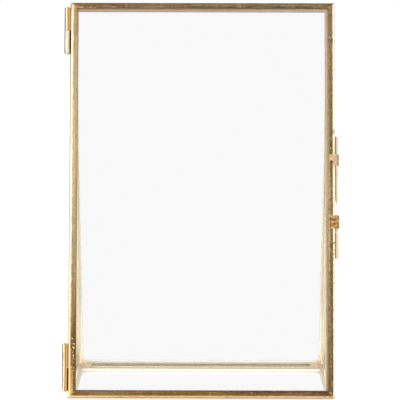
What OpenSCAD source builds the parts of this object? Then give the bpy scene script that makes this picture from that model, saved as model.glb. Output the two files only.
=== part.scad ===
// Free-standing photo frame: a wedge-shaped case of brass channel and clear
// glass, closed in front by a hinged glass door that a sliding bolt locks.
// Millimetres. Z is up and the door faces -Y. The origin is in the middle of
// the underside of the front base rail, on the plane the frame stands on.
// Seen from the front the hinges are on the left and the bolt on the right.

/* [Frame] */
// Width of the case and of the door
frame_w = 104; // [70:1:220]
// Height of the front panel, measured up its slope from the table
frame_h = 156; // [110:1:300]
// Lean of the front panel and of the back panel from upright, in degrees
lean = 10; // [7:0.5:16]

/* [Brass channel] */
// Wall of the channel beside the glass
wall_t = 0.3; // [0.2:0.05:0.6]
// Web of the channel under the edge of the glass
web_t = 0.6; // [0.4:0.05:0.9]
// Radius of the two outer edges of the channel
edge_r = 0.8; // [0.3:0.05:0.85]
// Face width of the door's upright channels
door_stile_w = 2.6; // [2:0.1:5]
// Face width of the door's top channel
door_top_w = 2.0; // [2:0.1:5]
// Face width of the door's bottom channel
door_bottom_w = 2.5; // [2:0.1:5]
// Face width of the channel round the front panel of the case
front_w = 3.3; // [2.4:0.1:6]
// Face width of the back panel's upright and top channels
back_w = 2.6; // [2:0.1:5]
// Face width of the back panel's bottom channel
back_foot_w = 4.4; // [2.8:0.1:6]
// Face width of the channel round the base panel
base_w = 3.3; // [2:0.1:5]
// Face width of the base panel's back channel
base_back_w = 4.2; // [2:0.1:6]
// Face width of the channel round each side panel
side_w = 2.6; // [2:0.1:4]

/* [Glass] */
// Thickness of every pane
glass_t = 1.5; // [1:0.1:3]
// Play on each face of a pane in its channel
glass_play = 0.05; // [0.02:0.01:0.2]
// Play between the edge of a pane and the web of its channel
glass_edge_play = 0.2; // [0.1:0.05:0.5]

/* [Door] */
// Gap between the closed door and the case
door_gap = 0.3; // [0.2:0.05:0.8]
// Height of the door's lower edge above the table, up the slope
door_lift = 0.8; // [0.7:0.1:3]
// Distance that the door stands to the right of the case
door_shift = 0.5; // [0:0.1:1]

/* [Hinges] */
// Outer radius of a hinge knuckle
barrel_r = 1.25; // [1.1:0.05:2]
// Length of one hinge, both knuckles together
hinge_len = 18; // [12:0.5:28]
// Distance of the upper hinge from the top of the door
upper_inset = 2; // [1:0.1:12]
// Distance of the lower hinge from the bottom of the door
lower_inset = 2.6; // [1:0.1:12]
// Radius of the hinge pin
hinge_pin_r = 0.65; // [0.5:0.05:0.8]
// Radial running clearance round the pin
hinge_play = 0.05; // [0.03:0.01:0.1]
// Gap between the two knuckles, and between a knuckle and a pin head
knuckle_gap = 0.2; // [0.1:0.05:0.4]
// Gap between the barrels and the rounded edges that they lie between
barrel_gap = 0.2; // [0.15:0.05:0.6]
// Height of the peened head on each end of the pin
pin_head_h = 0.35; // [0.2:0.05:0.8]
// Radius of the peened head where it meets the knuckle
pin_head_r = 0.95; // [0.9:0.05:1.1]
// Radius of the flat on top of the peened head
pin_flat_r = 0.6; // [0.4:0.05:0.9]

/* [Bolt] */
// Outer radius of the guide, eye and keeper tubes
tube_r = 0.8; // [0.75:0.05:1.4]
// Radius of the bolt
bolt_r = 0.55; // [0.45:0.05:0.6]
// Radial running clearance round the bolt
bolt_play = 0.05; // [0.03:0.01:0.1]
// Gap between the bolt's tubes and the rounded edges that they lie between
tube_gap = 0.2; // [0.15:0.05:0.6]
// Length of the guide tube on the door
guide_len = 15.5; // [10:0.5:24]
// Height of the guide tube's lower end above the middle of the door
guide_rise = 9.3; // [4:0.1:20]
// Height of the raised bolt's tip above the eye
tip_clear = 4.5; // [2:0.5:8]
// Length of bolt that shows between the guide and the raised tip
bolt_show = 11.1; // [6:0.1:16]
// Depth of the bolt's top inside the mouth of the guide
bolt_recess = 0.5; // [0.2:0.1:2]
// Length of the tapered tip
tip_len = 2.2; // [1:0.1:4]
// Radius of the flat end of the tip
tip_r = 0.3; // [0.2:0.05:0.4]
// Length of the eye tube on the door
eye_len = 6.5; // [5.4:0.1:10]
// Gap between the eye and the keeper
eye_gap = 0.2; // [0.2:0.05:1]
// Length of the keeper tube on the case
keeper_len = 10.3; // [6:0.1:16]

/* [Saddles] */
// Width of the saddle over the guide tube
saddle_w = 4.4; // [3:0.1:8]
// Height of the saddle's lower edge above the guide tube's lower end
saddle_rise = 3.9; // [2:0.1:6]
// Thickness of the saddle strap
saddle_t = 0.35; // [0.2:0.05:0.6]
// Length of the tab that lies on the face of the door's stile
saddle_tab = 2.2; // [1:0.1:2.5]
// Width of the tab of the guide's saddle
guide_tab_w = 2.5; // [1.5:0.1:3]
// Width of the saddle over the eye tube
eye_saddle_w = 5.2; // [3:0.1:5.4]

/* [Solder] */
// Reach of a corner fillet along the back rail
fillet_x = 5; // [3:0.5:8]
// Reach of a corner fillet up the back stile, above the back rail
fillet_h = 6.5; // [4:0.5:9]
// Thickness of a corner fillet
fillet_t = 0.6; // [0.3:0.1:1]
// Radius of the solder bead along the ridge
bead_r = 1.0; // [0.8:0.05:1.2]
// Thickness of the solder leaf that holds a knuckle or tube
leaf_t = 1.0; // [0.8:0.05:1.2]
// Length of the cut across the tip of each side panel
tip_cut = 4; // [3.5:0.1:6]

/* [Hidden] */
$fn = 48;

// Overrun of every cut past the face it cuts
over = 1;

// Thickness of a panel: a pane with its play between two channel walls
slot_t = glass_t + 2 * glass_play;
came_t = slot_t + 2 * wall_t;

// The base panel lies between the front and back panels. Its front rail is
// centred on the origin, which sets where the sloping panels stand.
base_y0 = -base_w / 2;
front_y = base_y0 - came_t / cos(lean) - came_t * tan(lean);
mid_y = front_y + frame_h * sin(lean) + came_t * cos(lean);
back_y = 2 * mid_y - front_y;
base_y1 = 2 * mid_y - base_y0;

// A sloping panel starts where its inner lower edge meets the table
panel_v0 = came_t * tan(lean);

// Side panels are triangles between the three other panels, cut at the tip
side_apex_z = came_t + (base_y1 - base_y0) / 2 / tan(lean);
side_top_z = side_apex_z - tip_cut;

// The door's left and right sides
door_left = door_shift - frame_w / 2;
door_right = door_shift + frame_w / 2;

// Point at the same distance from p and q, on the left of the way from p to q
function beside(p, q, distance) =
    let (half = (q - p) / 2)
    p + half + [-half[1], half[0]] / norm(half) * sqrt(pow(distance, 2) - half * half);

// The hinge barrels lie in the groove between the rounded edges of door and
// case, a gap away from both: x, then depth from the front of the case
hinge_axis = beside(
    [door_left + edge_r, -door_gap - edge_r],
    [-frame_w / 2 + edge_r, edge_r],
    edge_r + barrel_r + barrel_gap
);
knuckle_len = (hinge_len - knuckle_gap) / 2;
upper_hinge_v = frame_h - upper_inset - hinge_len;
lower_hinge_v = door_lift + lower_inset;

// The bolt runs level with the middle of the gap between door and case, with
// its tubes a gap away from the door's rounded edge
bolt_axis = [
    door_right - edge_r
        + sqrt(pow(edge_r + tube_r + tube_gap, 2) - pow(edge_r + door_gap / 2, 2)),
    -door_gap / 2
];

// Heights of what the bolt runs in, up the slope
door_mid_v = (door_lift + frame_h) / 2;
guide_v = door_mid_v + guide_rise;
tip_v = guide_v - bolt_show;
eye_v = tip_v - tip_clear - eye_len;
keeper_v = eye_v - eye_gap - keeper_len;

// Outline helpers

function edge_dir(p, q) = (q - p) / norm(q - p);
function inward(p, q) = [-edge_dir(p, q)[1], edge_dir(p, q)[0]];

// Corner i of an outline whose edges are drawn in by the widths in legs
function inset_corner(pts, legs, i) =
    let (
        n = len(pts),
        h = (i + n - 1) % n,
        m = inward(pts[h], pts[i]),
        k = inward(pts[i], pts[(i + 1) % n]),
        d = m[0] * k[1] - m[1] * k[0]
    )
    pts[i] + [(legs[h] * k[1] - legs[i] * m[1]) / d, (m[0] * legs[i] - k[0] * legs[h]) / d];

function inset(pts, legs) = [for (i = [0:len(pts) - 1]) inset_corner(pts, legs, i)];

// Mitred outline of the channel along edge i
function mitred(pts, legs, i) =
    let (j = (i + 1) % len(pts))
    [pts[i], pts[j], inset_corner(pts, legs, j), inset_corner(pts, legs, i)];

function rect(x0, x1, v0, v1) = [[x0, v0], [x1, v0], [x1, v1], [x0, v1]];

// Outlines of the panels, each in its own plane, anticlockwise from the
// lower left corner, with the channel widths in the same order
door_pts = rect(door_left, door_right, door_lift, frame_h);
door_legs = [door_bottom_w, door_stile_w, door_top_w, door_stile_w];
panel_pts = rect(-frame_w / 2, frame_w / 2, panel_v0, frame_h);
front_legs = [front_w, front_w, front_w, front_w];
back_legs = [back_foot_w, back_w, back_w, back_w];
base_pts = rect(-frame_w / 2, frame_w / 2, base_y0, base_y1);
base_legs = [base_w, base_w, base_back_w, base_w];
side_pts = [[base_y0, came_t], [base_y1, came_t], [mid_y, side_apex_z]];
side_legs = [side_w, side_w, side_w];

// Channel and pane

// Straight bar with its two outer edges rounded, along the edge from p to q
module rounded_bar(p, q, width) {
    bar_len = norm(q - p);
    translate([p[0], p[1], 0])
        rotate([0, 0, atan2(q[1] - p[1], q[0] - p[0])]) {
            translate([0, edge_r, 0]) cube([bar_len, width - edge_r, came_t]);
            translate([0, 0, edge_r]) cube([bar_len, edge_r, came_t - 2 * edge_r]);
            for (z = [edge_r, came_t - edge_r])
                translate([0, edge_r, z]) rotate([0, 90, 0]) cylinder(h = bar_len, r = edge_r);
        }
}

// U-shaped channel along edge i of a panel, mitred at both ends
module channel(pts, legs, i) {
    difference() {
        intersection() {
            rounded_bar(pts[i], pts[(i + 1) % len(pts)], legs[i]);
            linear_extrude(height = came_t) polygon(mitred(pts, legs, i));
        }
        translate([0, 0, wall_t])
            linear_extrude(height = slot_t)
                polygon(inset(pts, [for (leg = legs) web_t]));
    }
}

// Pane with its lower edge on the web and play at its other edges
module pane(pts, legs) {
    rest = [for (i = [0:len(pts) - 1]) i == 0 ? web_t : web_t + glass_edge_play];
    translate([0, 0, wall_t + glass_play])
        linear_extrude(height = glass_t) polygon(inset(pts, rest));
}

// Places of the panels

// Frame of the front slope: x across, z up the slope, y into the case
module on_front() {
    translate([0, front_y, 0]) rotate([-lean, 0, 0]) children();
}

module on_back() {
    translate([0, back_y, 0]) mirror([0, 1, 0]) rotate([-lean, 0, 0]) children();
}

module in_door() {
    on_front() translate([0, -door_gap, 0]) rotate([90, 0, 0]) children();
}

module in_front_panel() {
    on_front() translate([0, came_t, 0]) rotate([90, 0, 0]) children();
}

module in_back_panel() {
    on_back() translate([0, came_t, 0]) rotate([90, 0, 0]) children();
}

module in_side_panel(x) {
    translate([x, 0, 0]) rotate([90, 0, 90]) children();
}

// Keeps what lies below the cut across the tip of a side panel
module below_tip(z) {
    intersection() {
        children();
        translate([base_y0 - over, 0, -over])
            cube([base_y1 - base_y0 + 2 * over, z, came_t + 2 * over]);
    }
}

// Channel of a side panel, whose slot stops short of the cut tip
module side_channel(i) {
    difference() {
        below_tip(side_top_z)
            intersection() {
                rounded_bar(side_pts[i], side_pts[(i + 1) % len(side_pts)], side_w);
                linear_extrude(height = came_t) polygon(mitred(side_pts, side_legs, i));
            }
        below_tip(side_top_z - web_t)
            translate([0, 0, wall_t])
                linear_extrude(height = slot_t)
                    polygon(inset(side_pts, [web_t, web_t, web_t]));
    }
}

module side_pane() {
    below_tip(side_top_z - web_t - glass_edge_play) pane(side_pts, side_legs);
}

// Tubes, knuckles and straps

// Outline of the solder leaf between a tube and the flat edge of the door
// (side = -1) or of the case (side = 1). The leaf lies on the tube's +x side
// where across is 1 and on its -x side where it is -1.
function leaf_pts(axis, r, side, across) =
    let (
        edge_x = (side < 0 ? door_shift : 0) - across * frame_w / 2,
        face_y = side < 0 ? -door_gap : 0,
        flat_y = face_y + side * came_t / 2
    )
    [
        axis + [0, side * r],
        [edge_x, flat_y + side * leaf_t / 2],
        [edge_x, flat_y - side * leaf_t / 2],
        axis + [across * r / 2, side * r / 2]
    ];

// Tube up the slope from height v, with its solder leaf
module soldered_tube(axis, v, length, r, bore_r, side, across) {
    translate([0, 0, v])
        difference() {
            union() {
                translate(axis) cylinder(h = length, r = r);
                linear_extrude(height = length) polygon(leaf_pts(axis, r, side, across));
            }
            translate([axis[0], axis[1], -over]) cylinder(h = length + 2 * over, r = bore_r);
        }
}

module hinge_knuckle(v, side) {
    soldered_tube(hinge_axis, v, knuckle_len, barrel_r, hinge_pin_r + hinge_play, side, 1);
}

// Pin through both knuckles, with a peened head at each end
module hinge_pin(v) {
    translate([hinge_axis[0], hinge_axis[1], v - knuckle_gap / 2]) {
        cylinder(h = hinge_len + knuckle_gap, r = hinge_pin_r);
        translate([0, 0, hinge_len + knuckle_gap])
            cylinder(h = pin_head_h, r1 = pin_head_r, r2 = pin_flat_r);
        mirror([0, 0, 1]) cylinder(h = pin_head_h, r1 = pin_head_r, r2 = pin_flat_r);
    }
}

module bolt_tube(v, length, side) {
    soldered_tube(bolt_axis, v, length, tube_r, bolt_r + bolt_play, side, -1);
}

// Strap bent over a tube and over the edge of the door's stile, with a tab on
// the stile's face that is level with the strap's upper end
module saddle(v, width, tab_w) {
    face_y = -door_gap - came_t;
    seat_y = face_y + min(edge_r, (came_t - leaf_t) / 2);
    outer_r = tube_r + saddle_t;
    knee = outer_r * cos(45);
    tall = width + 2 * over;
    translate([0, 0, v])
        difference() {
            union() {
                intersection() {
                    translate(bolt_axis) cylinder(h = width, r = outer_r);
                    translate([bolt_axis[0], bolt_axis[1] - outer_r - over, -over])
                        cube([outer_r + over, outer_r + over + tube_r / 2, tall]);
                }
                linear_extrude(height = width)
                    polygon([
                        [door_right - edge_r, face_y],
                        [door_right - edge_r, face_y - saddle_t],
                        [door_right + saddle_t, face_y - saddle_t],
                        bolt_axis + [knee, -knee],
                        bolt_axis,
                        [door_right, face_y + edge_r]
                    ]);
                translate([door_right - saddle_tab, face_y - saddle_t, width - tab_w])
                    cube([saddle_tab, saddle_t, tab_w]);
            }
            translate([bolt_axis[0], bolt_axis[1], -over]) cylinder(h = tall, r = tube_r);
            translate([0, 0, -over])
                linear_extrude(height = tall) polygon(leaf_pts(bolt_axis, tube_r, -1, -1));
            translate([door_right - saddle_tab - over, face_y, -over])
                cube([saddle_tab + over - edge_r, came_t, tall]);
            translate([door_right - saddle_tab - over, seat_y, -over])
                cube([saddle_tab + over, came_t, tall]);
            translate([door_right - edge_r, face_y + edge_r, -over])
                cylinder(h = tall, r = edge_r);
        }
}

// Door

module door_stile_left() { color([0.78, 0.62, 0.38]) in_door() channel(door_pts, door_legs, 3); }
module door_stile_right() { color([0.78, 0.62, 0.38]) in_door() channel(door_pts, door_legs, 1); }
module door_rail_top() { color([0.55, 0.44, 0.30]) in_door() channel(door_pts, door_legs, 2); }
module door_rail_bottom() { color([0.85, 0.67, 0.44]) in_door() channel(door_pts, door_legs, 0); }
module door_glass() { color([0.90, 0.95, 0.94, 0.35]) in_door() pane(door_pts, door_legs); }

module upper_hinge_door_knuckle() {
    color([0.82, 0.60, 0.28])
        on_front() hinge_knuckle(upper_hinge_v + hinge_len - knuckle_len, -1);
}

module lower_hinge_door_knuckle() {
    color([0.82, 0.60, 0.28])
        on_front() hinge_knuckle(lower_hinge_v + hinge_len - knuckle_len, -1);
}

module bolt_guide() {
    color([0.84, 0.66, 0.36]) on_front() bolt_tube(guide_v, guide_len, -1);
}

module guide_saddle() {
    color([0.80, 0.64, 0.54]) on_front() saddle(guide_v + saddle_rise, saddle_w, guide_tab_w);
}

module bolt_eye() {
    color([0.84, 0.66, 0.36]) on_front() bolt_tube(eye_v, eye_len, -1);
}

module eye_saddle() {
    color([0.80, 0.64, 0.54])
        on_front() saddle(eye_v + eye_len - eye_saddle_w, eye_saddle_w, eye_saddle_w);
}

// Bolt

module latch_bolt() {
    top_v = guide_v + guide_len - bolt_recess;
    color([0.86, 0.68, 0.36])
        on_front() translate(bolt_axis) {
            translate([0, 0, tip_v + tip_len])
                cylinder(h = top_v - tip_v - tip_len, r = bolt_r);
            translate([0, 0, tip_v]) cylinder(h = tip_len, r1 = tip_r, r2 = bolt_r);
        }
}

// Case: front panel

module front_stile_left() {
    color([0.74, 0.62, 0.52]) in_front_panel() channel(panel_pts, front_legs, 3);
}

module front_stile_right() {
    color([0.74, 0.62, 0.52]) in_front_panel() channel(panel_pts, front_legs, 1);
}

module front_rail_top() {
    color([0.74, 0.62, 0.52]) in_front_panel() channel(panel_pts, front_legs, 2);
}

module front_rail_bottom() {
    color([0.60, 0.50, 0.40]) in_front_panel() channel(panel_pts, front_legs, 0);
}

module front_glass() {
    color([0.90, 0.95, 0.94, 0.35]) in_front_panel() pane(panel_pts, front_legs);
}

// Case: back panel

module back_stile_left() {
    color([0.90, 0.84, 0.68]) in_back_panel() channel(panel_pts, back_legs, 3);
}

module back_stile_right() {
    color([0.90, 0.84, 0.68]) in_back_panel() channel(panel_pts, back_legs, 1);
}

module back_rail_top() {
    color([0.90, 0.84, 0.68]) in_back_panel() channel(panel_pts, back_legs, 2);
}

module back_rail_bottom() {
    color([0.90, 0.84, 0.68]) in_back_panel() channel(panel_pts, back_legs, 0);
}

module back_glass() {
    color([0.90, 0.95, 0.94, 0.35]) in_back_panel() pane(panel_pts, back_legs);
}

// Case: base panel

module base_rail_left() { color([0.86, 0.76, 0.56]) channel(base_pts, base_legs, 3); }
module base_rail_right() { color([0.86, 0.76, 0.56]) channel(base_pts, base_legs, 1); }
module base_rail_front() { color([0.86, 0.76, 0.56]) channel(base_pts, base_legs, 0); }
module base_rail_back() { color([0.86, 0.76, 0.56]) channel(base_pts, base_legs, 2); }
module base_glass() { color([0.90, 0.95, 0.94, 0.35]) pane(base_pts, base_legs); }

// Case: side panels

module left_side_foot() {
    color([0.86, 0.78, 0.60]) in_side_panel(-frame_w / 2) side_channel(0);
}

module left_side_back_edge() {
    color([0.86, 0.78, 0.60]) in_side_panel(-frame_w / 2) side_channel(1);
}

module left_side_front_edge() {
    color([0.86, 0.78, 0.60]) in_side_panel(-frame_w / 2) side_channel(2);
}

module left_side_glass() {
    color([0.90, 0.95, 0.94, 0.35]) in_side_panel(-frame_w / 2) side_pane();
}

module right_side_foot() {
    color([0.86, 0.78, 0.60]) in_side_panel(frame_w / 2 - came_t) side_channel(0);
}

module right_side_back_edge() {
    color([0.86, 0.78, 0.60]) in_side_panel(frame_w / 2 - came_t) side_channel(1);
}

module right_side_front_edge() {
    color([0.86, 0.78, 0.60]) in_side_panel(frame_w / 2 - came_t) side_channel(2);
}

module right_side_glass() {
    color([0.90, 0.95, 0.94, 0.35]) in_side_panel(frame_w / 2 - came_t) side_pane();
}

// Case: solder

// Bead that fills the valley between the two top rails along the ridge
module ridge_solder() {
    valley_z = frame_h * cos(lean) - came_t * sin(lean);
    floor_z = (frame_h - web_t) * cos(lean) - (came_t - bead_r) * sin(lean);
    bead_len = frame_w - 4 * edge_r;
    color([0.72, 0.60, 0.44])
        difference() {
            intersection() {
                translate([-bead_len / 2, mid_y, valley_z + came_t * sin(lean) - bead_r])
                    rotate([0, 90, 0]) cylinder(h = bead_len, r = bead_r);
                translate([-frame_w / 2, mid_y - bead_r, floor_z])
                    cube([frame_w, 2 * bead_r, 2 * bead_r]);
            }
            front_rail_top();
            back_rail_top();
        }
}

// Depth and height of a point of the back panel: y in from its outer face and
// v up its slope
function back_point(y, v) =
    [back_y - y * cos(lean) - v * sin(lean), v * cos(lean) - y * sin(lean)];

// Solder in a lower corner of the back panel: a block in the angle between the
// back rail and the base, and above it a web with a hollow edge on the inside
// of the panel, against the side panel
module corner_solder(side) {
    x = side * (frame_w / 2 - came_t);
    x0 = side > 0 ? x - fillet_x : x;
    rail_v = panel_v0 + back_foot_w;
    angle_v = came_t * (1 + sin(lean)) / cos(lean);
    translate([x0, 0, 0])
        rotate([90, 0, 90])
            linear_extrude(height = fillet_x)
                polygon([
                    back_point(came_t, rail_v),
                    [base_y1 - base_back_w, came_t],
                    back_point(came_t, angle_v)
                ]);
    intersection() {
        on_back()
            difference() {
                translate([x0, came_t, 0]) cube([fillet_x, fillet_t, rail_v + fillet_h]);
                translate([x - side * fillet_x, came_t - over, rail_v + fillet_h])
                    rotate([-90, 0, 0])
                        scale([1, fillet_h / fillet_x, 1])
                            cylinder(h = fillet_t + 2 * over, r = fillet_x);
            }
        translate([-frame_w / 2, mid_y, came_t])
            cube([frame_w, back_y - mid_y, rail_v + fillet_h]);
    }
}

module corner_solder_left() { color([0.90, 0.84, 0.66]) corner_solder(-1); }
module corner_solder_right() { color([0.90, 0.84, 0.66]) corner_solder(1); }

// Case: hinges and keeper

module upper_hinge_case_knuckle() {
    color([0.82, 0.60, 0.28]) on_front() hinge_knuckle(upper_hinge_v, 1);
}

module lower_hinge_case_knuckle() {
    color([0.82, 0.60, 0.28]) on_front() hinge_knuckle(lower_hinge_v, 1);
}

module upper_hinge_pin() {
    color([0.88, 0.70, 0.40]) on_front() hinge_pin(upper_hinge_v);
}

module lower_hinge_pin() {
    color([0.88, 0.70, 0.40]) on_front() hinge_pin(lower_hinge_v);
}

module bolt_keeper() {
    color([0.84, 0.66, 0.36]) on_front() bolt_tube(keeper_v, keeper_len, 1);
}

door_stile_left();
door_stile_right();
door_rail_top();
door_rail_bottom();
door_glass();
front_stile_left();
front_stile_right();
front_rail_top();
front_rail_bottom();
front_glass();
back_stile_left();
back_stile_right();
back_rail_top();
back_rail_bottom();
back_glass();
base_rail_left();
base_rail_right();
base_rail_front();
base_rail_back();
base_glass();
left_side_front_edge();
left_side_back_edge();
left_side_foot();
left_side_glass();
right_side_front_edge();
right_side_back_edge();
right_side_foot();
right_side_glass();
ridge_solder();
corner_solder_left();
corner_solder_right();
upper_hinge_door_knuckle();
upper_hinge_case_knuckle();
upper_hinge_pin();
lower_hinge_door_knuckle();
lower_hinge_case_knuckle();
lower_hinge_pin();
bolt_guide();
guide_saddle();
bolt_eye();
eye_saddle();
bolt_keeper();
latch_bolt();
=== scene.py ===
import math
import random

import bmesh
import bpy
from mathutils import Matrix, Vector, noise


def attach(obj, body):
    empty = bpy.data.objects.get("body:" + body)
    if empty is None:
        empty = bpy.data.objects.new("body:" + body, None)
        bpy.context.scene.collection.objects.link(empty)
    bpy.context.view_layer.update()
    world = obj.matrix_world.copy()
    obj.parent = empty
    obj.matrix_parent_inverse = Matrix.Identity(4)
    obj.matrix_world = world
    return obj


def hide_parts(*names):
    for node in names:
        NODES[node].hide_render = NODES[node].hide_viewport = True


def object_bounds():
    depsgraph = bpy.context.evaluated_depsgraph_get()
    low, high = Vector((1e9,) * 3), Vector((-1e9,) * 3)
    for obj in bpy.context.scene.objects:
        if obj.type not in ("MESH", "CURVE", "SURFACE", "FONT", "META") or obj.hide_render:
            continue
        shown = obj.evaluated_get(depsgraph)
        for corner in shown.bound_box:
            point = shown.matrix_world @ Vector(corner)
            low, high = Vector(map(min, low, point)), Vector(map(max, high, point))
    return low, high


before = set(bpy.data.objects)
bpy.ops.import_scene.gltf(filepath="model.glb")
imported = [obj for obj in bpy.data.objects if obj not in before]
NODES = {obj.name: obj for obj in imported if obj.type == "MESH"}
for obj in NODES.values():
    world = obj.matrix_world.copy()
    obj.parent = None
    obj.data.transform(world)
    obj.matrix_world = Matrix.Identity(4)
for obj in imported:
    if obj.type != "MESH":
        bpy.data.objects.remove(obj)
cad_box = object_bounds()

MM = 0.001
SIDES = ((-1, "left"), (1, "right"))

# The frame's own measures, in millimetres

LEAN = math.radians(10)
HALF_W = 52.0
SLOPE_TOP = 156.0
# Thickness of a brass channel from face to face, and of one of its walls
CAME_T = 2.2
WALL_T = 0.3
INNER_X = HALF_W - CAME_T
# Faces of the door's stiles and top rail, and of the rail at the back's foot
STILE_FACE = 2.6
TOP_FACE = 2.0
BACK_FOOT = 4.4
# The door sits slightly to the right of the case and above its foot
DOOR_SHIFT = 0.5
DOOR_LEFT = DOOR_SHIFT - HALF_W
DOOR_RIGHT = DOOR_SHIFT + HALF_W
DOOR_LOW = 0.8
DOOR_FACE = -2.5
# Axes and radii of the hinges and of the bolt with its tubes
HINGE_X = -52.91
KNUCKLE_R = 1.25
PIN_HEAD_R = 0.95
BOLT_X = 53.23
TUBE_R = 0.8
BOLT_R = 0.55
# Ends of the base, and the feet of the two slopes' outer faces
BASE_Y0 = -1.65
FRONT_Y = BASE_Y0 - CAME_T / math.cos(LEAN) - CAME_T * math.tan(LEAN)
MID_Y = FRONT_Y + SLOPE_TOP * math.sin(LEAN) + CAME_T * math.cos(LEAN)
BACK_Y = 2 * MID_Y - FRONT_Y
BASE_Y1 = 2 * MID_Y - BASE_Y0

# The turn and the foot of each panel's own axes
PANELS = {"front": (LEAN, FRONT_Y), "back": (-LEAN, BACK_Y), "flat": (0, 0)}


def front(x, y, v):
    """A point of the front slope: x across, y into the case, v up the slope."""
    return Vector((x, FRONT_Y + y * math.cos(LEAN) + v * math.sin(LEAN),
                   v * math.cos(LEAN) - y * math.sin(LEAN)))


def back(x, y, v):
    """A point of the back panel: y in from its outer face, v up its slope."""
    return Vector((x, BACK_Y - y * math.cos(LEAN) - v * math.sin(LEAN),
                   v * math.cos(LEAN) - y * math.sin(LEAN)))


def flat(x, y, z):
    """A point of the base: x across, y to the back, z up."""
    return Vector((x, y, z))


def add_object(name, data):
    """A new object in the scene."""
    piece = bpy.data.objects.new(name, data)
    bpy.context.scene.collection.objects.link(piece)
    return piece


# Shader building

def tone(r, g, b):
    """A linear colour from the 0 to 255 values that a picture shows."""
    return tuple((c / 255 / 12.92) if c <= 10 else ((c / 255 + 0.055) / 1.055) ** 2.4
                 for c in (r, g, b))


class Tree:
    """Short ways to add nodes to a node tree."""

    def __init__(self, tree):
        self.tree = tree
        self.tree.nodes.clear()

    def add(self, kind, **props):
        node = self.tree.nodes.new(kind)
        for key, value in props.items():
            setattr(node, key, value)
        return node

    def put(self, socket, value):
        if isinstance(value, bpy.types.NodeSocket):
            self.link(value, socket)
        elif isinstance(value, (tuple, list)) and len(socket.default_value) == len(value) + 1:
            socket.default_value = (*value, 1)
        else:
            socket.default_value = value

    def link(self, output, socket):
        self.tree.links.new(output, socket)

    def math(self, op, a, b=0.0, c=0.0):
        node = self.add("ShaderNodeMath", operation=op)
        for socket, value in zip(node.inputs, (a, b, c)):
            self.put(socket, value)
        return node.outputs[0]

    def mix(self, factor, a, b):
        node = self.add("ShaderNodeMix", data_type="RGBA", clamp_factor=True)
        self.put(node.inputs[0], factor)
        self.put(node.inputs[6], a)
        self.put(node.inputs[7], b)
        return node.outputs[2]

    def mix_shaders(self, factor, a, b):
        node = self.add("ShaderNodeMixShader")
        for socket, value in zip(node.inputs, (factor, a, b)):
            self.link(value, socket)
        return node.outputs[0]

    def glow(self, kind, strength):
        """A white emission or background."""
        node = self.add(kind)
        node.inputs["Color"].default_value = (1, 1, 1, 1)
        self.put(node.inputs["Strength"], strength)
        return node.outputs[0]

    def span(self, value, low, high, to_low=0.0, to_high=1.0, kind="SMOOTHSTEP"):
        node = self.add("ShaderNodeMapRange", clamp=True, interpolation_type=kind)
        for socket, v in zip(node.inputs, (value, low, high, to_low, to_high)):
            self.put(socket, v)
        return node.outputs[0]

    def noise(self, vector, scale, detail=3.0, roughness=0.55, distortion=0.0):
        node = self.add("ShaderNodeTexNoise")
        self.put(node.inputs["Vector"], vector)
        for key, value in (("Scale", scale), ("Detail", detail), ("Roughness", roughness),
                           ("Distortion", distortion)):
            node.inputs[key].default_value = value
        return node.outputs["Fac"]

    def mapped(self, vector, location=(0, 0, 0), rotation=(0, 0, 0), scale=(1, 1, 1)):
        node = self.add("ShaderNodeMapping", vector_type="POINT")
        self.put(node.inputs["Vector"], vector)
        node.inputs["Location"].default_value = location
        node.inputs["Rotation"].default_value = rotation
        node.inputs["Scale"].default_value = scale
        return node.outputs[0]

    def ramp(self, value, stops):
        node = self.add("ShaderNodeValToRGB")
        elements = node.color_ramp.elements
        while len(elements) < len(stops):
            elements.new(1.0)
        for element, (place, colour) in zip(elements, stops):
            element.position = place
            element.color = (*colour, 1)
        self.put(node.inputs[0], value)
        return node.outputs[0]

    def axes(self, vector):
        node = self.add("ShaderNodeSeparateXYZ")
        self.put(node.inputs[0], vector)
        return node.outputs


class Shader(Tree):
    """The node tree of one new material."""

    def __init__(self, name):
        self.material = bpy.data.materials.new(name)
        self.material.use_nodes = True
        super().__init__(self.material.node_tree)
        self.out = self.add("ShaderNodeOutputMaterial")

    def show(self, output):
        self.link(output, self.out.inputs["Surface"])

    def local(self, panel):
        """Object coordinates in millimetres, turned into the axes of a panel."""
        turn, foot_y = PANELS[panel]
        coords = self.add("ShaderNodeTexCoord").outputs["Object"]
        return self.mapped(coords, (0, -foot_y * math.cos(turn), -foot_y * math.sin(turn)),
                           (turn, 0, 0), (1000, 1000, 1000))

    def surface(self, colour, roughness, height, metallic=1.0, strength=0.5, distance=0.00005):
        bsdf = self.add("ShaderNodeBsdfPrincipled")
        self.put(bsdf.inputs["Base Color"], colour)
        self.put(bsdf.inputs["Roughness"], roughness)
        bsdf.inputs["Metallic"].default_value = metallic
        bump = self.add("ShaderNodeBump")
        bump.inputs["Strength"].default_value = strength
        bump.inputs["Distance"].default_value = distance
        self.put(bump.inputs["Height"], height)
        self.link(bump.outputs[0], bsdf.inputs["Normal"])
        self.show(bsdf.outputs[0])
        return bsdf


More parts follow.
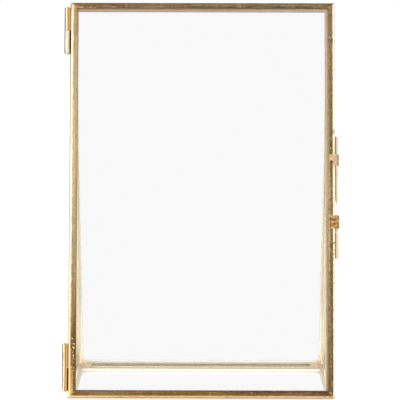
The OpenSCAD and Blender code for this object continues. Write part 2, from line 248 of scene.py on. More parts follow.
# A palette of handworked brass and solder, roughly from the brightest to the darkest.
# The first tone is painted light, the second a painted highlight, the fourth both
# polish and painted highlight, and the last but one painted shade.
PAINTED_LIGHT_TIN = tone(255, 255, 253)
PAINTED_HIGHLIGHT = tone(255, 252, 224)
IVORY = tone(250, 244, 230)
POLISH_AND_HIGHLIGHT = tone(254, 240, 196)
PALE_TIN = tone(246, 239, 220)
CREAM = tone(244, 234, 206)
TIN = tone(228, 222, 205)
PUTTY = tone(226, 218, 190)
STRAW = tone(234, 210, 162)
SAND = tone(210, 192, 170)
BLUSH = tone(220, 192, 162)
PEACH = tone(224, 194, 148)
ORANGE = tone(240, 190, 114)
HONEY = tone(226, 180, 116)
GREY = tone(196, 184, 170)
ROSE = tone(206, 170, 140)
TAN = tone(200, 176, 132)
GOLD = tone(206, 168, 104)
DRAB = tone(178, 148, 106)
OLIVE = tone(162, 136, 88)
AMBER = tone(196, 134, 62)
OCHRE = tone(166, 124, 64)
BROWN = tone(158, 124, 82)
BRONZE = tone(148, 118, 78)
SLATE = tone(140, 126, 112)
RUSSET = tone(140, 98, 58)
MOSS = tone(122, 100, 66)
UMBER = tone(124, 90, 54)
RUST = tone(126, 84, 46)
MAROON = tone(102, 70, 42)
DARK = tone(92, 68, 38)
SHADE = tone(82, 70, 60)
SOOT = tone(76, 54, 34)

# A panel's own axes: across, to its inner or outer side, and up
X, Y, V = 0, 1, 2
# The axis that a piece lies along, and the stretch of it, in mm, that its tones cover
UP = (V, 0, SLOPE_TOP)
ACROSS = (X, -HALF_W, HALF_W)
INWARD = (Y, -6, 56)
SIDE_FOOT = (Y, -6, 156)


class Zone:
    """A band across a channel, from start to end on one axis, with its tones
    along the channel and how much its border wavers."""

    def __init__(self, axis, start, end, tones, amount=1.0, waver=1.0):
        self.axis, self.start, self.end, self.tones = axis, start, end, tones
        self.amount, self.waver = amount, waver


def upright_zone(side, shift, start, end, tones, amount=1.0, waver=1.0):
    """A zone along an upright. side is -1 or 1, shift is how far its panel sits
    to the right, and start and end are mm in from the panel's outer edge."""
    edge = shift + side * HALF_W
    return Zone(X, edge - side * start, edge - side * end, tones, amount, waver)


def drawn_out(axis, along_scale, across_scale):
    """The scales of a noise that is drawn out along one axis."""
    return [along_scale if i == axis else across_scale for i in range(3)]


def brass(name, panel, run, tones, zones=(), streak=0.5, stain=0.5, speck=0.4, seed=0.0,
          rough=(0.2, 0.42), dull=UMBER, busy=0.0):
    """Brass whose tone changes along its run, with wiping streaks, stains, dark
    and bright specks, and zones of another tone across its width; on some pieces
    these tones and zones are partly painted highlights, reflections and light.
    tones are (mm, tone), dull is what streaks and stains tend to, and busy adds specks."""
    s = Shader(name)
    p = s.local(panel)
    q = s.mapped(p, (seed * 31.7, seed * 17.3, seed * 11.9))
    axes = s.axes(p)
    axis, low, high = run
    wander = 9.0
    drift = s.math("MULTIPLY_ADD", s.noise(q, 0.2), wander, -wander / 2)
    t = s.span(s.math("ADD", axes[axis], drift), low, high, kind="LINEAR")

    def along_ramp(stops):
        if len(stops) == 1:
            return stops[0][1]
        return s.ramp(t, [((mm - low) / (high - low), c) for mm, c in stops])

    stains = s.noise(q, 0.55, 5.0, 0.62, 0.6)
    streaks = s.noise(s.mapped(q, scale=drawn_out(axis, 0.17, 4.2)), 1.0, 3.0, 0.6)
    specks = s.noise(q, 2.6, 2.0, 0.5)
    bends = s.noise(s.mapped(q, scale=drawn_out(axis, 0.35, 1.0)), 1.0)
    waver = s.math("MULTIPLY_ADD", bends, 1.0, -0.5)
    base = along_ramp(tones)
    for zone in zones:
        border = s.math("MULTIPLY_ADD", waver, zone.waver, axes[zone.axis])
        mask = s.span(border, zone.start, zone.end, 0.0, zone.amount)
        base = s.mix(mask, base, along_ramp(zone.tones))
    base = s.mix(s.span(streaks, 0.50, 0.70, 0.0, streak), base, dull)
    base = s.mix(s.span(streaks, 0.44, 0.28, 0.0, 0.6 * streak), base, POLISH_AND_HIGHLIGHT)
    base = s.mix(s.span(stains, 0.54, 0.68, 0.0, stain), base, dull)
    base = s.mix(s.span(specks, 0.62 - busy, 0.70 - busy, 0.0, speck), base, SOOT)
    base = s.mix(s.span(specks, 0.36 + busy, 0.28 + busy, 0.0, 0.8 * speck), base, POLISH_AND_HIGHLIGHT)
    roughness = s.math("MULTIPLY_ADD", stains, rough[1] - rough[0], rough[0])
    roughness = s.math("ADD", roughness, s.span(specks, 0.58, 0.72, 0.0, 0.25))
    height = s.math("MULTIPLY_ADD", streaks, 0.5, s.math("MULTIPLY", stains, 0.6))
    s.surface(base, roughness, s.math("MULTIPLY_ADD", specks, 0.25, height))
    return s.material


def drawn_tube(name, centre, radius, tones, seed=0.0, reach=1.0):
    """Drawn tube with painted reflections across it, stripes of painted highlight
    and shade, fine lines along it and dulled patches. tones are (share, tone), from
    one side of the tube, -1, to reach, where 1 is its other side and more is the leaf beside it."""
    s = Shader(name)
    p = s.local("front")
    q = s.mapped(p, (seed * 13.1, seed * 7.7, seed * 23.3))
    lines = s.noise(s.mapped(q, scale=(3.4, 3.4, 0.12)), 1.0, 3.0, 0.6)
    patches = s.noise(q, 0.45, 4.0, 0.6, 0.4)
    bends = s.noise(s.mapped(q, scale=(0.1, 0.1, 0.22)), 1.0)
    sway = s.math("MULTIPLY_ADD", bends, 0.5 * radius, -0.25 * radius)
    place = s.math("ADD", s.axes(p)[X], sway)
    across = s.span(place, centre - radius, centre + radius * reach, kind="LINEAR")
    base = s.ramp(across, [((share + 1) / (reach + 1), c) for share, c in tones])
    base = s.mix(s.span(lines, 0.54, 0.70, 0.0, 0.3), base, BROWN)
    base = s.mix(s.span(patches, 0.58, 0.72, 0.0, 0.35), base, OLIVE)
    base = s.mix(s.span(s.noise(q, 2.8, 2.0), 0.64, 0.72, 0.0, 0.4), base, UMBER)
    height = s.math("MULTIPLY_ADD", lines, 0.4, s.math("MULTIPLY", patches, 0.6))
    s.surface(base, s.span(patches, 0.3, 0.7, 0.14, 0.34), height, strength=0.35)
    return s.material


def solder(name, light, shade, dark=BROWN, seed=0.0, rough=(0.2, 0.42)):
    """Hand-run solder: rippled, mottled between light and shade by its runs, with painted highlights where
    its ripple noise is low and dark flecks where it is high.
    """
    s = Shader(name)
    q = s.mapped(s.local("flat"), (seed * 9.1, seed * 5.3, seed * 3.7))
    runs = s.noise(q, 0.7, 4.0, 0.6, 0.8)
    ripples = s.noise(q, 2.2, 3.0, 0.55)
    base = s.mix(s.span(runs, 0.38, 0.62), light, shade)
    base = s.mix(s.span(ripples, 0.58, 0.70, 0.0, 0.6), base, dark)
    # Painted highlights where the ripple noise is low
    base = s.mix(s.span(ripples, 0.40, 0.30, 0.0, 0.7), base, POLISH_AND_HIGHLIGHT)
    s.surface(base, s.span(runs, 0.35, 0.65, *rough), s.math("MULTIPLY_ADD", ripples, 0.5, runs),
              strength=0.6, distance=0.00012)
    return s.material


def pane_glass(name, seed):
    """Clear float glass with a trace of haze and a very slight waviness. Rays
    that light or mirror something pass straight through it."""
    s = Shader(name)
    p = s.mapped(s.local("flat"), (seed * 40, seed * 23, 0))
    haze = s.noise(p, 0.045, 4.0, 0.6, 0.5)
    tint = s.mix(haze, (0.997, 1.0, 0.998), (1.0, 1.0, 1.0))
    bsdf = s.surface(tint, s.span(haze, 0.5, 0.8, 0.0, 0.02), s.noise(p, 0.02, 2.0),
                     metallic=0.0, strength=0.04, distance=0.0001)
    bsdf.inputs["IOR"].default_value = 1.48
    bsdf.inputs["Transmission Weight"].default_value = 1.0
    path = s.add("ShaderNodeLightPath")
    shown = bsdf.outputs[0]
    for ray in ("Is Glossy Ray", "Is Shadow Ray"):
        clear = s.add("ShaderNodeBsdfTransparent").outputs[0]
        shown = s.mix_shaders(path.outputs[ray], shown, clear)
    s.show(shown)
    return s.material


def paint(material, *names):
    """Gives CAD nodes their finish."""
    for name in names:
        materials = NODES[name].data.materials
        materials.clear()
        materials.append(material)


# Camera, fitted to the corners and the inner edges of the back and the base

LENS = 157.398
SENSOR = 36
EYE = (0.002732, -0.674355, 0.147727)
TURN = (84.08439, -0.11348, 0.27656)

camera_data = bpy.data.cameras.new("camera")
camera_data.sensor_width = SENSOR
camera_data.lens = LENS
camera_data.clip_start = 0.01
camera_data.clip_end = 50
camera = add_object("camera", camera_data)
camera.location = EYE
camera.rotation_euler = [math.radians(a) for a in TURN]
bpy.context.scene.camera = camera

# Finish of the door. Its tones along the channels are partly patina and partly painted reflections of the
# room, and the bands along the rounded outer edges are painted highlights

paint(brass("door_left", "front", UP,
            [(1, ORANGE), (19, MAROON), (31, OCHRE), (52, DRAB), (84, PEACH), (114, PEACH),
             (122, TAN), (154, GOLD)],
            # The next three zones, along the rounded outer edge, are painted highlights, brightest higher
            # up, and a pale rim of painted reflection
            [upright_zone(-1, DOOR_SHIFT, 1.2, 0.85,
                          [(9, ORANGE), (20, DRAB), (32, PEACH), (62, PAINTED_HIGHLIGHT)]),
             upright_zone(-1, DOOR_SHIFT, 0.75, 0.55,
                          [(40, POLISH_AND_HIGHLIGHT), (70, PAINTED_HIGHLIGHT), (151, PAINTED_HIGHLIGHT), (155, GOLD)], waver=0.5),
             upright_zone(-1, DOOR_SHIFT, 0.2, 0.1, [(0, STRAW)], waver=0.0),
             upright_zone(-1, DOOR_SHIFT, 1.8, 2.05,
                          [(16, MAROON), (28, UMBER), (46, DRAB), (100, TAN), (138, TAN), (154, OLIVE)],
                          0.85)],
            streak=0.3, stain=0.2, speck=0.35, seed=1.0, busy=0.04), "door_stile_left")
paint(brass("door_right", "front", UP,
            [(1, UMBER), (20, BRONZE), (44, MOSS), (78, DRAB), (100, MOSS), (122, BRONZE)],
            [upright_zone(1, DOOR_SHIFT, 2.05, 2.35,
                          [(18, UMBER), (28, DRAB), (48, TAN), (62, STRAW), (100, TAN), (150, BROWN)],
                          0.8, waver=0.6),
             upright_zone(1, DOOR_SHIFT, 1.65, 1.4,
                          [(0, MAROON), (90, RUST), (150, BRONZE)], 0.9, waver=0.5),
             # The next two zones, along the rounded outer edge, are a painted highlight and a pale rim of
             # painted reflection
             upright_zone(1, DOOR_SHIFT, 1.1, 0.75,
                          [(1, IVORY), (60, POLISH_AND_HIGHLIGHT), (100, POLISH_AND_HIGHLIGHT), (150, IVORY)], waver=0.3),
             upright_zone(1, DOOR_SHIFT, 0.2, 0.1, [(0, STRAW)], waver=0.0)],
            streak=0.4, stain=0.7, speck=0.7, seed=2.0, dull=DARK, busy=0.03), "door_stile_right")
paint(brass("door_top", "front", ACROSS,
            [(-51, GOLD), (-44, RUSSET), (-22, BRONZE), (0, MOSS), (42, MOSS), (51, BRONZE)],
            [Zone(V, SLOPE_TOP - 1.4, SLOPE_TOP - 1.05, [(-50, RUSSET), (-10, BROWN)], 0.8)],
            streak=0.6, stain=0.6, speck=0.7, seed=3.0, dull=SOOT, busy=0.02), "door_rail_top")
paint(brass("door_bottom", "front", ACROSS,
            [(-51, ORANGE), (-49, RUST), (-40, BRONZE), (-18, RUST), (8, RUSSET), (22, RUST),
             (36, RUSSET), (51, MAROON)],
            # Along the rounded lower edge, a painted highlight
            [Zone(V, DOOR_LOW + 1.0, DOOR_LOW + 0.7, [(-50, STRAW), (-30, HONEY), (50, PEACH)], waver=0.4),
             # Along the upper edge, next to the pane: darker tones, painted shade
             Zone(V, DOOR_LOW + 1.95, DOOR_LOW + 2.25, [(-10, BRONZE), (8, UMBER), (16, SOOT)], 0.8)],
            streak=0.4, stain=0.35, speck=0.45, seed=4.0, busy=0.02), "door_rail_bottom")

# Finish of the case's front, behind the door

# The case's front shows through the door: its tones are partly its own and partly painted, the door's shade
# and a pink reflection in the glass, and its pale inner faces are painted light
STILE_TONES = {"left": [(26, MAROON), (38, BROWN), (100, BLUSH)],
               "right": [(0, DRAB), (50, TAN), (66, TAN), (80, BLUSH)]}
INNER_LINE = {"left": [(22, SOOT), (34, BROWN), (46, TAN), (154, SAND)],
              "right": [(50, CREAM), (100, SAND), (154, GREY)]}
for side, name in SIDES:
    paint(brass("case_front_" + name, "front", UP, STILE_TONES[name],
                [upright_zone(side, 0, 2.95, 3.1, INNER_LINE[name], waver=0.5),
                 upright_zone(side, 0, 1.0, 0.7, [(0, SAND)]),
                 Zone(Y, 1.2, 1.6, [(0, IVORY), (30, CREAM)])],
                streak=0.2, stain=0.15, speck=0.15, seed=5.0 + 9 * side), "front_stile_" + name)
paint(brass("case_front_rails", "front", ACROSS, [(10, ROSE), (52, BLUSH)],
            [Zone(V, SLOPE_TOP - 2.85, SLOPE_TOP - 3.05, [(0, GREY)])],
            streak=0.3, stain=0.2, speck=0.15, seed=6.0), "front_rail_top", "front_rail_bottom")

# Finish of the back, the base and the sides: golden outside, pale inside, where the
# pale tones are partly the brass's own and partly painted light for the white room that
# they mirror. The borders lie within the thin outer walls, so they don't waver

SKIN_START = 0.12
SKIN_END = 0.2
OUTER_TONES = [(-52, GOLD), (-20, STRAW), (10, TAN), (40, GOLD), (80, STRAW), (120, TAN), (156, GOLD)]
INNER_LIP = Zone(Y, WALL_T - CAME_T, SKIN_END - CAME_T,
                 [(-52, PALE_TIN), (-30, TIN), (30, TIN), (52, PALE_TIN)])


def inside_back(colour):
    """All of the back but the skin of its outer face."""
    return Zone(Y, -SKIN_START, -SKIN_END, [(0, colour)], waver=0.0)


paint(brass("case_back", "back", UP, OUTER_TONES[2:], [inside_back(CREAM)],
            streak=0.12, stain=0.08, speck=0.1, seed=7.0), "back_stile_left", "back_stile_right")
# Inside the back rails the tone is near-white, painted light against the shade in their slots
paint(brass("case_back_rails", "back", ACROSS, OUTER_TONES[:4], [inside_back(PAINTED_LIGHT_TIN), INNER_LIP],
            streak=0.12, stain=0.08, speck=0.1, seed=8.0, rough=(0.4, 0.6)),
      "back_rail_top", "back_rail_bottom")

# Below the skin of the base's top the tone is near-white, painted light against the shade in its slots
painted_light_under_base = Zone(V, CAME_T - SKIN_START, CAME_T - SKIN_END, [(0, PAINTED_LIGHT_TIN)], waver=0.0)
paint(brass("base_long", "flat", ACROSS, [(0, CREAM)], [painted_light_under_base],
            streak=0.08, stain=0.0, speck=0.0, seed=9.0, rough=(0.12, 0.25)),
      "base_rail_front", "base_rail_back")
paint(brass("base_short", "flat", INWARD, [(0, PALE_TIN)], [painted_light_under_base],
            streak=0.1, stain=0.06, speck=0.08, seed=10.0), "base_rail_left", "base_rail_right")

SHELL_TONES = [(-6, GOLD), (20, STRAW), (60, TAN), (110, GOLD), (156, STRAW)]
SIDE_WEAR = {"streak": 0.15, "stain": 0.1, "speck": 0.1}
for side, name in SIDES:
    shell = [upright_zone(side, 0, 0.2, 0.1, SHELL_TONES, waver=0.0)]
    for edge, panel, run, tones, seed in (
            ("front_edge", "front", UP, [(16, PALE_TIN), (30, CREAM)], 11.0),
            ("back_edge", "back", UP, [(0, CREAM)], 12.0),
            ("foot", "flat", SIDE_FOOT, [(0, PALE_TIN)], 13.0)):
        paint(brass(f"side_{edge}_{name}", panel, run, tones, shell, seed=seed, **SIDE_WEAR),
              f"{name}_side_{edge}")

# Finish of the hinges, the bolt and its tubes, and the panes

# Tones across the hinge barrels from their outer side are painted reflections: dark and grey stripes of
# painted shade, a painted highlight, then gold and orange stripes; past 1 the leaf, painted lighter against
# its shade
BARREL = [(-0.85, SHADE), (-0.68, SLATE), (-0.5, GREY), (-0.28, POLISH_AND_HIGHLIGHT), (-0.08, POLISH_AND_HIGHLIGHT),
          (0.06, OCHRE), (0.22, OCHRE), (0.4, ORANGE), (0.55, ORANGE), (0.75, OCHRE), (0.95, AMBER),
          (1.5, ORANGE)]
PALE_BARREL = [(-0.85, SHADE), (-0.68, SLATE), (-0.5, GREY), (-0.28, PAINTED_HIGHLIGHT), (0.1, CREAM),
               (0.5, PEACH), (0.8, OCHRE), (1.5, ORANGE)]
# Across the bolt's tubes and the pins, one pale stripe is a painted highlight
TUBE = [(-1.0, DRAB), (-0.6, DRAB), (-0.3, CREAM), (0.25, SAND), (1.0, SAND)]
PIN = [(-1.0, GOLD), (0.0, STRAW), (1.0, GOLD)]

for i, (name, barrel) in enumerate([("upper_hinge_door_knuckle", BARREL),
                                    ("upper_hinge_case_knuckle", PALE_BARREL),
                                    ("lower_hinge_door_knuckle", BARREL),
                                    ("lower_hinge_case_knuckle", BARREL)]):
    paint(drawn_tube("tube_" + name, HINGE_X, KNUCKLE_R, barrel, 1.0 + i, reach=1.5), name)
for i, (name, radius) in enumerate([("bolt_guide", TUBE_R), ("bolt_eye", TUBE_R),
                                    ("bolt_keeper", TUBE_R), ("latch_bolt", BOLT_R)]):
    paint(drawn_tube("tube_" + name, BOLT_X, radius, TUBE, 6.0 + i), name)
paint(drawn_tube("pins", HINGE_X, PIN_HEAD_R, PIN, 11.0), "upper_hinge_pin", "lower_hinge_pin")
for i, name in enumerate(n for n in NODES if n.endswith("_glass")):
    paint(pane_glass("glass_" + name, float(i)), name)

# Finish of the solder

PALE_SOLDER = solder("pale_solder", tone(240, 220, 190), tone(226, 204, 178), SAND, 3.0,
                     rough=(0.35, 0.55))
INNER_SOLDER = solder("inner_solder", tone(254, 240, 206), tone(244, 228, 190), STRAW, 7.0)
RIDGE_SOLDER = solder("ridge_solder_finish", STRAW, TAN, BROWN, 4.0)
LIP_SOLDER = brass("lip_solder", "back", UP, [(20, TIN), (60, PUTTY), (156, CREAM)],
                   streak=0.12, stain=0.05, speck=0.0, seed=16.0, dull=TAN)
# The lip's top edge is near-white, painted light against the shade where it turns up
RAIL_LIP = brass("rail_lip", "flat", ACROSS, [(0, TIN)],
                 [Zone(V, BACK_FOOT + 0.1, BACK_FOOT + 0.22, [(0, PAINTED_LIGHT_TIN)], waver=0.0)],
                 streak=0.1, stain=0.05, speck=0.0, seed=17.0, rough=(0.5, 0.7), dull=TAN)
# Pale tones on the base's back joint, painted light against the shade on its upper face
RAIL_SOLDER = solder("rail_solder", IVORY, CREAM, STRAW, 9.0, rough=(0.5, 0.7))
MITRE_SOLDER = solder("mitre_solder", tone(240, 192, 130), tone(226, 170, 100), BROWN, 10.0)
SPATTER_SOLDER = solder("spatter_solder", PEACH, ORANGE, RUSSET, 18.0)
STRAP_FINISH = brass("guide_strap_finish", "front", UP, [(0, tone(226, 192, 162))],
                     [upright_zone(1, DOOR_SHIFT, 1.0, 1.4, [(0, tone(236, 200, 132))])],
                     streak=0.4, stain=0.75, speck=0.8, seed=14.0, dull=RUSSET)
EYE_SOLDER = solder("eye_strap_finish", HONEY, RUSSET, MAROON, 15.0)
SEAM_SOLDER = solder("seam_solder", POLISH_AND_HIGHLIGHT, STRAW, BROWN, 5.0)
DARK_SEAM = solder("dark_seam", tone(190, 176, 146), tone(168, 154, 122), OLIVE, 6.0)
# A dark solder line for the door's bottom rail: painted shade
PAINTED_SHADE_LINE = solder("painted_shade_line", UMBER, MAROON, SOOT, 19.0)

# Ways to make solder, in mesh code


def dress(piece, material, body):
    """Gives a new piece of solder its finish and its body."""
    mesh = piece.data
    for face in mesh.polygons:
        face.use_smooth = True
    mesh.materials.clear()
    mesh.materials.append(material)
    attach(piece, body)


def add_blob(mould, centre, radii, turn=0.0):
    """An ellipsoid, in millimetres, for a mould that is melted later."""
    matrix = Matrix.Translation(centre) @ Matrix.Rotation(turn, 4, "X") @ Matrix.Diagonal((*radii, 1))
    bmesh.ops.create_icosphere(mould, subdivisions=3, radius=1.0, matrix=matrix)


def run_bead(mould, points, radius, step, rng, vary=0.25):
    """A row of overlapping drops along a path."""
    for a, b in zip(points, points[1:]):
        count = max(1, round((b - a).length / step))
        for i in range(count + 1):
            r = radius * (1 + rng.uniform(-vary, vary))
            radii = (r, r * rng.uniform(0.8, 1.1), r * rng.uniform(0.9, 1.3))
            add_blob(mould, a.lerp(b, i / count), radii)


def melt(piece, voxel, smooth):
    """Melts all that is in a piece into one skin."""
    remesh = piece.modifiers.new("melt", "REMESH")
    remesh.mode = "VOXEL"
    remesh.voxel_size = voxel
    soften = piece.modifiers.new("soften", "SMOOTH")
    soften.factor = 0.5
    soften.iterations = smooth
    graph = bpy.context.evaluated_depsgraph_get()
    mould = piece.data
    skin = bpy.data.meshes.new_from_object(piece.evaluated_get(graph))
    piece.modifiers.clear()
    piece.data = skin
    bpy.data.meshes.remove(mould)
    skin.name = piece.name


def ripple_skin(skin, ripple, grain):
    """Ripples a skin and turns it from millimetres to metres, in the CAD box."""
    normals = [v.normal.copy() for v in skin.vertices]
    for vertex, normal in zip(skin.vertices, normals):
        wave = noise.noise(vertex.co * grain) + 0.5 * noise.noise(vertex.co * grain * 2.7)
        place = (vertex.co + normal * wave * ripple) * MM
        vertex.co = [min(max(c, low), high) for c, low, high in zip(place, *cad_box)]


def cast(name, material, body, fill=None, stand_for=None, voxel=0.12, smooth=4, ripple=0.05, grain=1.1):
    """One rippled drop of solder, from what fill() puts in its mould and from
    the CAD node that it stands for."""
    mould = bmesh.new()
    if stand_for:
        mould.from_mesh(NODES[stand_for].data)
        bmesh.ops.scale(mould, vec=(1000, 1000, 1000), verts=mould.verts)
        bmesh.ops.remove_doubles(mould, verts=mould.verts, dist=0.0005)
    if fill:
        fill(mould)
    mesh = bpy.data.meshes.new(name)
    mould.to_mesh(mesh)
    mould.free()
    piece = add_object(name, mesh)
    melt(piece, voxel, smooth)
    ripple_skin(piece.data, ripple, grain)
    dress(piece, material, body)
    if stand_for:
        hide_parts(stand_for)


def seam(name, body, points, radius, material, seed):
    """A short bead of solder, cast from drops along a path."""
    rng = random.Random(seed)
    cast(name, material, body, lambda mould: run_bead(mould, points, radius, radius * 1.1, rng),
         voxel=max(0.07, radius / 3.2), smooth=2, ripple=radius * 0.2, grain=1.6)


def long_seam(name, start, end, radius, material, seed, body="case", step=0.5, sides=10,
              thin_end=1.0, flatness=1.0):
    """A run of solder along a straight joint, as one swept and rippled cord.
    It narrows to thin_end of its radius, and flatness thins it front to back."""
    along = (end - start).normalized()
    u = Vector((1, 0, 0)) if abs(along.x) < 0.5 else Vector((0, 0, 1))
    w = along.cross(u) * flatness
    count = round((end - start).length / step)
    points, faces = [], []
    for i in range(count + 1):
        centre = start.lerp(end, i / count)
        taper = min(1.0, 0.35 + min(i, count - i) * 0.3) * (1 + (thin_end - 1) * i / count)
        swell = 1 + 0.3 * noise.noise(Vector((i * step * 0.55, seed * 7.3, 0)))
        for k in range(sides):
            turn = 2 * math.pi * k / sides
            spot = u * math.cos(turn) + w * math.sin(turn)
            ripple = 1 + 0.18 * noise.noise((centre + spot) * 1.7 + Vector((seed, 0, 0)))
            points.append((centre + spot * radius * taper * swell * ripple) * MM)
        if i:
            a, b = (i - 1) * sides, i * sides
            faces += [(a + k, a + (k + 1) % sides, b + (k + 1) % sides, b + k) for k in range(sides)]
    faces += [tuple(reversed(range(sides))), tuple(range(count * sides, (count + 1) * sides))]
    mesh = bpy.data.meshes.new(name)
    mesh.from_pydata(points, [], faces)
    dress(add_object(name, mesh), material, body)


def mirrored_seam(name, point, half_length, y, v, radius, material, seed, **shape):
    """A long seam across the frame, from -half_length to half_length."""
    long_seam(name, point(-half_length, y, v), point(half_length, y, v), radius, material, seed, **shape)


# Straps of the bolt's guide and eye, at their places up the slope

GUIDE_STRAP_V = 94.8
EYE_STRAP_LOW = 67.6
EYE_STRAP_HIGH = 71.2


def guide_strap(mould):
    add_blob(mould, front(DOOR_RIGHT - 1.4, DOOR_FACE, GUIDE_STRAP_V), (0.75, 0.28, 1.15), -LEAN)
    add_blob(mould, front(DOOR_RIGHT - 0.5, DOOR_FACE + 0.3, GUIDE_STRAP_V - 2.5), (0.5, 0.4, 0.5))
    add_blob(mould, front(DOOR_RIGHT - 0.1, DOOR_FACE + 0.5, GUIDE_STRAP_V + 0.8), (0.4, 0.4, 0.4))


def eye_strap(mould):
    rng = random.Random(7)
    for _ in range(6):
        x = DOOR_RIGHT - rng.uniform(0.6, 1.8)
        centre = front(x, DOOR_FACE - 0.25, rng.uniform(EYE_STRAP_LOW, EYE_STRAP_HIGH))
        add_blob(mould, centre, (0.32, 0.16, 0.38), -LEAN)


cast("guide_strap", STRAP_FINISH, "door", guide_strap, "guide_saddle", voxel=0.1, smooth=3, ripple=0.05)
cast("eye_strap", EYE_SOLDER, "door", eye_strap, "eye_saddle", voxel=0.1, smooth=3, ripple=0.06)

# Ridge and lower back corners

cast("ridge_bead", RIDGE_SOLDER, "case", None, "ridge_solder", voxel=0.22, smooth=3, ripple=0.12,
     grain=0.8)


def corner(mould, side):
    """Three runs of solder from a corner's knee: across, forward and up."""
    rng = random.Random(20 + side)
    x = side * INNER_X
    knee = Vector((x, BASE_Y1 - 1.2, CAME_T + 0.4))
    run_bead(mould, [knee, knee + Vector((-side * 4.4, 0.5, 0.2))], 0.6, 0.6, rng, 0.12)
    run_bead(mould, [knee, knee + Vector((0, -3.0, -0.2))], 0.45, 0.6, rng, 0.15)
    run_bead(mould, [knee, back(x, CAME_T + 0.1, 9.5)], 0.4, 0.6, rng, 0.15)


for side, name in SIDES:
    cast("corner_fillet_" + name, PALE_SOLDER, "case", lambda mould: corner(mould, side),
         "corner_solder_" + name, voxel=0.2, smooth=6, ripple=0.1, grain=0.7)

# Mitre seams in the door's corners, from the outer corner to the pane's

CORNER_INSET = 0.35
MITRE_REACH = 2.5
mitre_seed = 30
for end, outer_v, inner_v in (("top", SLOPE_TOP - CORNER_INSET, SLOPE_TOP - TOP_FACE + 0.05),
                              ("bottom", DOOR_LOW + CORNER_INSET, DOOR_LOW + MITRE_REACH - 0.1)):
    for side, name in SIDES:
        edge = DOOR_SHIFT + side * HALF_W
        outer = front(edge - side * CORNER_INSET, DOOR_FACE + 0.2, outer_v)
        inner = front(edge - side * MITRE_REACH, DOOR_FACE, inner_v)
        radius = 0.14 if (end, name) == ("bottom", "right") else 0.1
        seam(f"mitre_seam_{end}_{name}", "door", [outer, inner], radius, MITRE_SOLDER, mitre_seed)
        mitre_seed += 1

# Spatter on the left stile and beside the upper left corner


def spatter(mould):
    rng = random.Random(11)
    for _ in range(40):
        r = 0.08 + 0.24 * rng.random() ** 2
        x = rng.uniform(DOOR_LEFT + 0.9, DOOR_LEFT + 2.2)
        centre = front(x, DOOR_FACE, rng.triangular(11, 25, 20))
        add_blob(mould, centre, (r, r * 0.7, r * rng.uniform(0.8, 1.6)), -LEAN)


def corner_spatter(mould):
    rng = random.Random(17)
    for _ in range(12):
        r = rng.uniform(0.1, 0.24)
        x = rng.uniform(DOOR_LEFT + 2.3, DOOR_LEFT + 9.5)
        pane_edge = SLOPE_TOP - TOP_FACE
        centre = front(x, DOOR_FACE + 0.05, rng.uniform(pane_edge - 0.15, pane_edge + 0.15))
        add_blob(mould, centre, (r * rng.uniform(1.0, 1.9), r * 0.7, r), -LEAN)


cast("solder_spatter", SPATTER_SOLDER, "door", spatter, voxel=0.07, smooth=1, ripple=0.02)
cast("corner_spatter", MITRE_SOLDER, "door", corner_spatter, voxel=0.07, smooth=1, ripple=0.02)

# Long seams inside the case

mirrored_seam("back_rail_lip", back, INNER_X, CAME_T, BACK_FOOT + 0.4, 0.7, RAIL_LIP, 48,
              sides=20, flatness=0.15)
mirrored_seam("back_rail_seam", back, INNER_X, CAME_T, BACK_FOOT - 0.65, 0.2, DARK_SEAM, 50)
mirrored_seam("base_joint_back", flat, INNER_X, BASE_Y1 - 0.6, CAME_T + 0.05, 0.42, RAIL_SOLDER, 49)
mirrored_seam("base_joint_front", flat, INNER_X, BASE_Y0 + 0.15, CAME_T + 0.1, 0.35, INNER_SOLDER, 51)
for side, name in SIDES:
    side_x = side * (INNER_X - 0.05)
    long_seam("side_joint_" + name, front(side_x, CAME_T + 0.2, 4.0), front(side_x, CAME_T + 0.2, 138.0),
              0.42, INNER_SOLDER, 52 + side)
    back_x = side * (HALF_W - 2.55)
    long_seam("back_joint_" + name, back(back_x, CAME_T + 0.05, 6.0), back(back_x, CAME_T + 0.05, 96.0),
              1.1, LIP_SOLDER, 62 + side, thin_end=0.15, flatness=0.22)

# A dark line where the lower rail's lip meets the pane: painted shade along the lip's edge

line_y = DOOR_FACE + 0.25
line_v = DOOR_LOW + 2.6
long_seam("door_rail_line", front(DOOR_LEFT + STILE_FACE, line_y, line_v),
          front(DOOR_RIGHT - STILE_FACE, line_y, line_v), 0.17, PAINTED_SHADE_LINE, 70, body="door")

# Bright beads along the upper and lower edges of the eye's strap

BEAD_R = 0.24
bead_end = DOOR_RIGHT - 0.4
upper_bead = [front(DOOR_RIGHT - 2.0, DOOR_FACE - 0.2, EYE_STRAP_HIGH + 0.6),
              front(bead_end, DOOR_FACE - 0.2, EYE_STRAP_HIGH + 0.7)]
lower_bead = [front(DOOR_RIGHT - 1.9, DOOR_FACE - 0.12, EYE_STRAP_LOW - 0.5),
              front(bead_end, DOOR_FACE - 0.1, EYE_STRAP_LOW - 0.6)]
seam("eye_bead_upper", "door", upper_bead, BEAD_R, SEAM_SOLDER, 44)
seam("eye_bead_lower", "door", lower_bead, BEAD_R, SEAM_SOLDER, 44)

# Floor, a sheet of white paper

# Level of the white room as it shows through the panes
THROUGH_GLASS = 0.94
FLOOR_HALF = 4
FLOOR_DROP = 0.00002


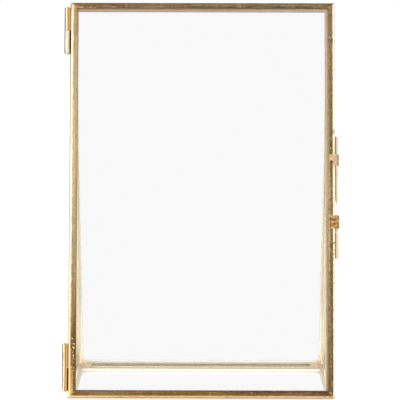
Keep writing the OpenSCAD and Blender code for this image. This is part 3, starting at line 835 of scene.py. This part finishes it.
def floor_paper():
    """White paper that grows lighter with its distance, in mm, from the frame."""
    s = Shader("floor_paper")
    coords = s.local("flat")
    paper = s.add("ShaderNodeBsdfDiffuse")
    s.put(paper.inputs["Color"], s.mix(s.noise(coords, 0.02), (0.79, 0.79, 0.79), (0.81, 0.81, 0.81)))
    away = s.add("ShaderNodeVectorMath", operation="LENGTH")
    s.put(away.inputs[0], coords)
    rays = s.add("ShaderNodeLightPath").outputs
    direct = s.math("MULTIPLY", rays["Is Camera Ray"], s.span(away.outputs["Value"], 150, 900, 0.72, 1.0))
    lift = s.math("MULTIPLY_ADD", rays["Is Glossy Ray"], 0.6, direct)
    both = s.add("ShaderNodeAddShader")
    s.link(paper.outputs[0], both.inputs[0])
    s.link(s.glow("ShaderNodeEmission", lift), both.inputs[1])
    through = s.glow("ShaderNodeEmission", THROUGH_GLASS)
    s.show(s.mix_shaders(rays["Is Transmission Ray"], both.outputs[0], through))
    return s.material


floor_mesh = bpy.data.meshes.new("floor")
corners = [(x * FLOOR_HALF, y * FLOOR_HALF, 0) for x, y in ((-1, -1), (1, -1), (1, 1), (-1, 1))]
floor_mesh.from_pydata(corners, [], [(0, 1, 2, 3)])
floor_mesh.materials.append(floor_paper())
floor = add_object("floor", floor_mesh)
floor.location.z = -FLOOR_DROP

# World: white to the camera and through the panes, and a room for the metal to mirror

# Parts of that room at another level: towards where, the cosines at which the
# part starts and is full, and its level
CEILING = ((0, 0.15, 1), 0.55, 0.92, 0.30)
LEFT_OF_CAMERA = ((-0.86, -0.5, 0.1), 0.70, 0.85, 1.1)
RIGHT_OF_CAMERA = ((0.86, -0.5, 0.1), 0.75, 0.90, 1.1)
LEFT_SCREEN = ((-0.80, 0.6, 0.05), 0.88, 0.96, 0.30)
RIGHT_SCREEN = ((0.80, 0.6, 0.05), 0.90, 0.975, 0.40)


def build_world():
    """The white room, with all its parts multiplied together."""
    world = bpy.data.worlds.new("studio")
    bpy.context.scene.world = world
    world.use_nodes = True
    s = Tree(world.node_tree)
    direction = s.add("ShaderNodeTexCoord").outputs["Generated"]
    room = 1.0
    for toward, start, full, level in (CEILING, LEFT_OF_CAMERA, RIGHT_OF_CAMERA, LEFT_SCREEN, RIGHT_SCREEN):
        facing = s.add("ShaderNodeVectorMath", operation="DOT_PRODUCT")
        s.put(facing.inputs[0], direction)
        facing.inputs[1].default_value = Vector(toward).normalized()
        room = s.math("MULTIPLY", room, s.span(facing.outputs["Value"], start, full, 1.0, level))
    rays = s.add("ShaderNodeLightPath").outputs
    sky = s.mix_shaders(rays["Is Glossy Ray"], s.glow("ShaderNodeBackground", 0.45),
                        s.glow("ShaderNodeBackground", room))
    sky = s.mix_shaders(rays["Is Transmission Ray"], sky, s.glow("ShaderNodeBackground", THROUGH_GLASS))
    sky = s.mix_shaders(rays["Is Camera Ray"], sky, s.glow("ShaderNodeBackground", 1.0))
    s.link(sky, s.add("ShaderNodeOutputWorld").inputs["Surface"])


build_world()

# Lamps

LAMP_TARGET = Vector((0, 0, 0.08))


def lamp(name, place, size, power):
    """A soft box that faces the frame."""
    data = bpy.data.lights.new(name, "AREA")
    data.shape = "RECTANGLE"
    data.size, data.size_y = size
    data.energy = power
    obj = add_object(name, data)
    obj.location = place
    obj.rotation_euler = (LAMP_TARGET - Vector(place)).to_track_quat("-Z", "Y").to_euler()


lamp("left_box", (-1.3, -0.5, 0.5), (0.6, 1.2), 3.5)
lamp("right_box", (1.3, -0.4, 0.5), (0.6, 1.2), 3.5)
lamp("top_box", (0.0, 0.3, 1.5), (1.4, 0.9), 4)

bpy.context.scene.view_settings.view_transform = "Standard"

# Light passes several panes before it meets the metal inside, and several after
cycles = bpy.context.scene.cycles
cycles.max_bounces = 20
cycles.glossy_bounces = 8
cycles.transmission_bounces = 16
cycles.transparent_max_bounces = 24
